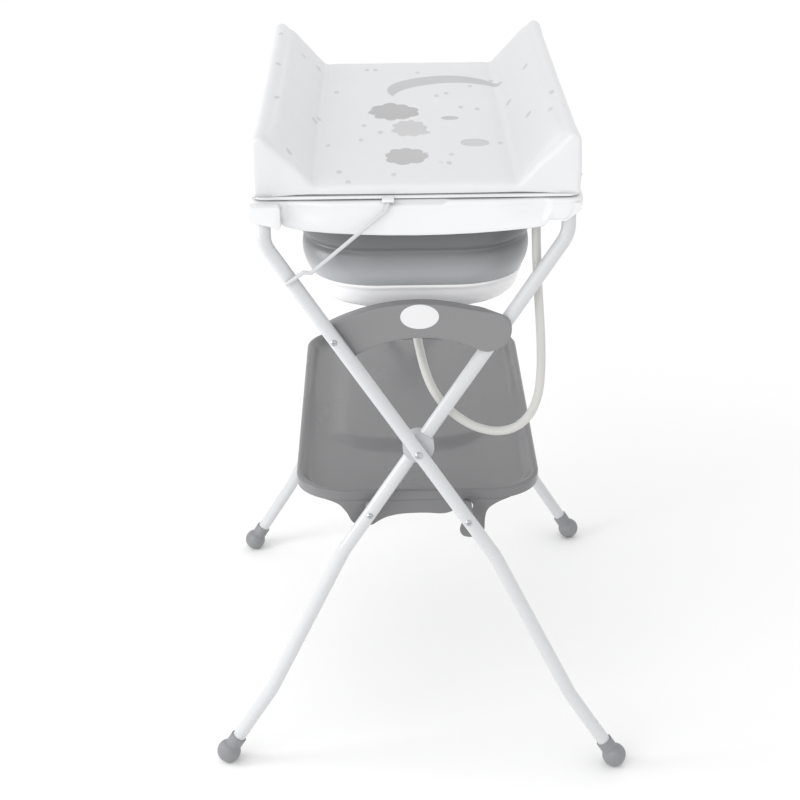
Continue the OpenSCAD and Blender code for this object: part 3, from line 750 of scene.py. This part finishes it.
def tub_rim():
    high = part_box("tub_rim")[1]
    plate_top, plate_low = high.z, high.z - 0.006
    hx, hy = high.x, high.y
    count = 720
    outline = rounded_rectangle(hx, hy, 0.026, count)
    # Near the corners the end wall steps back, which leaves a soft hollow beside each leg
    back = 0.0035 * smooth_step(np.abs(outline[:, 0]), 0.197, 0.206)
    outline[:, 1] -= np.sign(outline[:, 1]) * back * (np.abs(outline[:, 1]) > hy - 0.03)
    collar = rounded_rectangle(0.185, 0.374, 0.120, count)
    at_end = np.abs(outline[:, 1]) > hy - 0.03
    side = np.abs(outline[:, 0])
    near_ear = smooth_step(side, 0.120, 0.190) * (1 - smooth_step(side, 0.196, 0.204))
    hollow = 0.009 * near_ear * at_end
    step = np.roll(outline, -1, 0) - np.roll(outline, 1, 0)
    inward = np.c_[-step[:, 1], step[:, 0]]
    inward /= np.linalg.norm(inward, axis=1)[:, None]
    into = collar / np.linalg.norm(collar, axis=1)[:, None]
    edge = rim_edge_height(outline[:, 0], outline[:, 1], hy)
    slot = (smooth_step(outline[:, 0], -0.048, -0.040) * (1 - smooth_step(outline[:, 0], 0.040, 0.048))
            * (np.abs(outline[:, 1]) > hy - 0.02))

    def out(depth, z):
        return np.c_[outline + inward * np.broadcast_to(depth, count)[:, None], np.broadcast_to(z, count)]

    def ring_in(depth, z):
        return np.c_[collar - into * depth, np.full(count, z)]

    top = plate_top - 0.0045 * slot
    rings = [ring_in(0.0030, 0.9445), ring_in(0.0030, plate_top - 0.006), ring_in(0.0022, plate_top - 0.0018),
             ring_in(0.0004, plate_top - 0.0003), ring_in(-0.003, plate_top)]
    mid = np.c_[(collar * 0.5 + outline * 0.5), np.full(count, plate_top)]
    rings += [mid, out(0.012 + hollow, plate_top), out(0.0095 + hollow, top)]
    rings += [out(0.0045 + hollow, top - 0.0002), out(0.0018 + hollow, top - 0.0012)]
    rings += [out(0.0004 + hollow, top - 0.0030), out(hollow, top - 0.0055)]
    for t in np.linspace(0.08, 1, 12):
        bulge = 0.0011 * math.sin(t * math.pi)
        dip = hollow * (1 - smooth_step(t, 0.35, 0.9))
        rings.append(out(0.0012 - bulge + dip, top - 0.0055 + (edge + 0.003 - top + 0.0055) * t))
    rings += [out(0.0018, edge + 0.001), out(0.0026, edge + 0.0003), out(0.0033, edge + 0.001)]
    rings += [out(0.0036, edge + 0.004), out(0.0036 + hollow, plate_low - 0.0006)]
    rings += [out(0.0042 + hollow, plate_low), ring_in(-0.004, plate_low)]
    rings += [ring_in(-0.0005, plate_low - 0.002), ring_in(0.0, 0.9455), ring_in(0.0010, 0.9442)]
    obj = face_out(new_mesh("tub_rim_shell", np.vstack(rings), loft_faces(len(rings), count, closed=True),
                            MATERIALS["white_plastic"]))
    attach(obj, "tub")
    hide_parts("tub_rim")


tub_rim()


# ---- shelf ----

TRAY_CORNER = 0.085
LEDGE_MIDDLE = -0.012
LEDGE_HALF = 0.142
LEDGE_RISE = 0.0090


def tray_height(x, y, depth, floor_z, lip_z):
    """Upper surface: a rounded lip, a sloping wall, and a raised rear floor with a curved front edge."""
    wall = smooth_step(depth, 0.0055, 0.026)
    z = lip_z - (lip_z - floor_z) * wall
    z -= 0.0022 * smooth_step(0.006 - depth, 0, 0.006) ** 2
    across = np.clip(np.abs(x - LEDGE_MIDDLE) / LEDGE_HALF, 0, 1)
    crest = -0.142 + 0.060 * across ** 4
    run = 0.014 + 0.035 * (1 - across ** 2.2)
    raised = smooth_step(y, crest - run, crest) * smooth_step(depth, 0.026, 0.050)
    z += LEDGE_RISE * raised * (1 - smooth_step(across, 0.72, 1.0))
    return z


def tray():
    low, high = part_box("shelf_tray")
    hx, hy = high.x, high.y
    r = TRAY_CORNER
    floor_z, lip_z = low.z + 0.0032, high.z
    count = 560
    depths = [0, 0.0008, 0.002, 0.0035, 0.005, 0.007, 0.0095, 0.012, 0.015, 0.018, 0.021, 0.024, 0.027, 0.030,
              0.033, 0.036, 0.040, 0.046, 0.052]
    deepest = hx - 0.004
    depths += list(np.linspace(0.058, deepest, 44))
    rings = []
    for depth in depths:
        p = rounded_rectangle(hx - depth, hy - depth, max(r - depth, 0.012), count)
        z = tray_height(p[:, 0], p[:, 1], np.full(count, depth), floor_z, lip_z)
        rings.append(np.c_[p, z])
    under = []
    outside = (
        (0.0, lip_z - 0.005), (0.0, lip_z - 0.011), (0.0, low.z + 0.0006), (0.0002, low.z + 0.0001),
        (0.003, low.z), (0.06, low.z + 0.0001), (deepest, low.z + 0.0001),
    )
    for depth, z in outside:
        p = rounded_rectangle(hx - depth, hy - depth, max(r - depth, 0.012), count)
        under.append(np.c_[p, np.full(count, z)])
    rings[0][:, 2] = lip_z - 0.0032
    rings = rings[::-1] + under
    verts = np.vstack(rings)
    faces = loft_faces(len(rings), count)
    for ring in (0, len(rings) - 1):
        faces += bridge_slit(ring * count, count)
    obj = face_out(new_mesh("tray", verts, faces, MATERIALS["tray_grey"]))
    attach(obj, "shelf")
    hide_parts("shelf_tray")


def bridge_slit(first, count):
    """Closes a long thin ring that is symmetric about X = 0: each point is joined to its mirror image."""
    half = count // 2
    pair = [(first + k, first + (half - k) % count) for k in range(-(count // 4), count // 4 + 1)]
    faces = []
    for (a, b), (c, d) in zip(pair, pair[1:]):
        corners = []
        for v in (a, b, d, c):
            v = first + (v - first) % count
            if v not in corners:
                corners.append(v)
        if len(corners) > 2:
            faces.append(corners)
    return faces


tray()


# ---- tray aprons and hooks ----

# Outlines in X and Z, from the tray's underside round and back to it
APRON = (
    (-0.152, 0.4759), (-0.140, 0.4735), (-0.128, 0.4680), (-0.117, 0.4550), (-0.110, 0.4410),
    (-0.103, 0.4345), (-0.092, 0.4320), (-0.076, 0.4322), (-0.066, 0.4385), (-0.050, 0.4465),
    (-0.025, 0.4515), (0.010, 0.4525), (0.040, 0.4510), (0.056, 0.4560), (0.067, 0.4670),
    (0.071, 0.4759),
)
HOOK = (
    (0.0800, 0.4759), (0.0860, 0.4700), (0.0885, 0.4620), (0.0815, 0.4480), (0.0750, 0.4390),
    (0.0690, 0.4290), (0.0675, 0.4185), (0.0725, 0.4100), (0.0840, 0.4070), (0.0980, 0.4095),
    (0.1065, 0.4180), (0.1085, 0.4440), (0.1140, 0.4590), (0.1300, 0.4700), (0.1500, 0.4759),
)


def end_plate(name, outline, node):
    """A curved plate under the tray's edge, at both ends."""
    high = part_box("shelf_tray")[1]
    r = TRAY_CORNER
    smooth = spline(outline, 90)
    top = along([smooth[-1], smooth[0]], 40)[1:-1]
    ring = np.vstack([smooth, top])
    inside, wall = fill_outline(ring)
    points = np.vstack([ring, inside])
    corner = np.clip(np.abs(points[:, 0]) - (high.x - r), 0, r)
    y = (high.y - r) + np.sqrt(r * r - corner * corner)
    for end, sign in (("front", -1), ("rear", 1)):
        verts = np.c_[points[:, 0], sign * y, points[:, 1]]
        obj = new_mesh(f"{name}_{end}", verts, wall, MATERIALS["tray_grey"])
        bm = bmesh.new()
        bm.from_mesh(obj.data)
        bmesh.ops.recalc_face_normals(bm, faces=bm.faces)
        if sum(f.normal.y for f in bm.faces) * sign < 0:
            bmesh.ops.reverse_faces(bm, faces=bm.faces)
        bm.to_mesh(obj.data)
        bm.free()
        thick = obj.modifiers.new("thickness", "SOLIDIFY")
        thick.thickness = 0.003
        thick.offset = -1
        bevel(obj, 0.0008, 3, 50)
        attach(obj, "shelf")
        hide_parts(node)


end_plate("apron", APRON, "shelf_aprons")
end_plate("hook", HOOK, "shelf_hooks")


# ---- brace ----

BRACE_TOP_ARC = ((0.0, 0.533), 0.297)
BRACE_LOW_ARC = ((0.005, 0.573), 0.200)
BRACE_END = (
    (0.1010, 0.8158), (0.1195, 0.8130), (0.1299, 0.8098), (0.1383, 0.8040), (0.1431, 0.7975),
    (0.1452, 0.7890), (0.1445, 0.7769), (0.1400, 0.7642), (0.1305, 0.7561), (0.1188, 0.7506),
    (0.1082, 0.7481), (0.0963, 0.7505),
)
BRACE_PIVOT = (-0.1285, 0.777)
LEG_SLOPE = 0.66
CROSS_Z = 0.585


def arc_points(arc, start, end, count):
    (cx, cz), r = arc
    return [(cx + r * math.cos(a), cz + r * math.sin(a)) for a in np.radians(np.linspace(start, end, count))]


def brace_outline(count):
    """The arched outline in X and Z, cut along the outer leg at its left end, with rounded corners."""
    points = arc_points(BRACE_TOP_ARC, 118.9, 76, 50)
    points += [tuple(p) for p in spline(BRACE_END, 60)] + arc_points(BRACE_LOW_ARC, 66, 124.2, 60)
    points.append(points[0])
    ring = along(points, count, closed=True)
    for _ in range(10):
        ring = (np.roll(ring, 1, 0) + 2 * ring + np.roll(ring, -1, 0)) / 4
    return ring


def brace():
    """A shell with a rounded front edge, deep on the left and thin in front of the inner leg."""
    low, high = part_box("brace_cover")
    count = 420
    ring = brace_outline(count)
    ahead = np.roll(ring, -1, 0) - np.roll(ring, 1, 0)
    out = np.c_[-ahead[:, 1], ahead[:, 0]] / np.linalg.norm(ahead, axis=1)[:, None]
    if ((ring + out * 0.01).max(0) < ring.max(0)).any():
        out = -out
    front, plate, rounding, inner_inset = low.y, 0.0034, 0.0038, 0.0032
    from_leg = (ring[:, 1] - CROSS_Z) * LEG_SLOPE - ring[:, 0]
    depth = 0.0042 + (high.y - low.y - 0.0046) * smooth_step(from_leg, 0.022, 0.060)
    from_nut = np.hypot(ring[:, 0] - BRACE_PIVOT[0], ring[:, 1] - BRACE_PIVOT[1])
    depth = np.minimum(depth, 0.0128 + 0.0100 * smooth_step(from_nut, 0.009, 0.020))

    def level(inset, y):
        p = ring - out * inset
        return np.c_[p[:, 0], np.broadcast_to(y, count), p[:, 1]]

    levels = []
    for t in np.linspace(0, 1, 7):
        angle = t * math.pi / 2
        levels.append(level(rounding * (1 - math.sin(angle)), front + rounding * (1 - math.cos(angle))))
    levels += [level(0, front + depth * 0.6 + 0.0015), level(0, front + depth)]
    levels += [level(0.0006, front + depth + 0.0003), level(0.0022, front + depth + 0.0002)]
    levels += [level(0.0024, front + depth - 0.0004), level(0.0026, front + plate + 0.0004)]
    levels.append(level(inner_inset, front + plate))
    obj = new_mesh("brace_shell", np.vstack(levels), loft_faces(len(levels), count), MATERIALS["brace_grey"])
    for inset, y in ((rounding, front), (inner_inset, front + plate)):
        rim = level(inset, y)
        inside, wall = fill_outline(rim[:, (0, 2)])
        cover = new_mesh("cover", [*rim, *[(x, y, z) for x, z in inside]], wall)
        join_into(obj, cover)
    face_out(obj)
    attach(obj, "brace")
    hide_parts("brace_cover")


brace()


# ---- what stays CAD ----

def dress_nodes():
    slots = {row["node"]: row["material_slot"] for row in frame["record"]["subparts"]}
    rounding = {
        "outer_top_caps": 0.0035, "inner_top_caps": 0.0025, "rim_saddles": 0.001,
        "hose_clip": 0.0015, "mat_board": 0.0012, "brace_badge": 0.0008,
        "shelf_clips": 0.001, "mat_hinge_leaves": 0.0006, "rim_hinge_lugs": 0.0006, "outer_feet": 0.0008,
        "inner_feet": 0.0008, "pivot_hubs": 0.0012, "drain_plug": 0.0008, "drain_outlet": 0.0006,
    }
    for name, obj in nodes.items():
        obj.data.materials.clear()
        obj.data.materials.append(MATERIALS[slots[name]])
        obj.data.polygons.foreach_set("use_smooth", [True] * len(obj.data.polygons))
        if name in rounding:
            bevel(obj, rounding[name])


dress_nodes()


# ---- floor and light ----

def make_floor():
    s = Shader("floor", (0.975, 0.975, 0.975), 0.7)
    s.tint(s.spread(s.noise(2, 1), 0.1, 0.9), (0.97, 0.97, 0.97))
    size = 14
    floor = new_mesh("floor", [(-size, -size, 0), (size, -size, 0), (size, size, 0), (-size, size, 0)],
                     [(0, 1, 2, 3)], s.material, smooth=False)


def area_light(name, place, aim, size, power):
    data = bpy.data.lights.new(name, "AREA")
    data.shape = "DISK"
    data.size = size
    data.energy = power
    light = bpy.data.objects.new(name, data)
    scene.collection.objects.link(light)
    light.location = place
    light.rotation_euler = (Vector(aim) - Vector(place)).to_track_quat("-Z", "Y").to_euler()


SUN_FROM = Vector((-1.1, -1.5, 1.1))


def make_light():
    world = bpy.data.worlds.new("world")
    scene.world = world
    world.use_nodes = True
    world.node_tree.nodes["Background"].inputs["Color"].default_value = (1, 1, 1, 1)
    world.node_tree.nodes["Background"].inputs["Strength"].default_value = 0.94
    sun = bpy.data.objects.new("sun", bpy.data.lights.new("sun", "SUN"))
    sun.data.energy = 0.66
    sun.data.angle = math.radians(50)
    sun.rotation_euler = SUN_FROM.to_track_quat("Z", "Y").to_euler()
    scene.collection.objects.link(sun)
    area_light("front", (-0.9, -2.6, 1.2), (0, 0, 0.8), 1.2, 2.2)
    area_light("side", (-1.5, -0.4, 0.9), (0, 0, 0.45), 0.7, 7)
    scene.view_settings.view_transform = "Standard"


make_floor()
make_light()
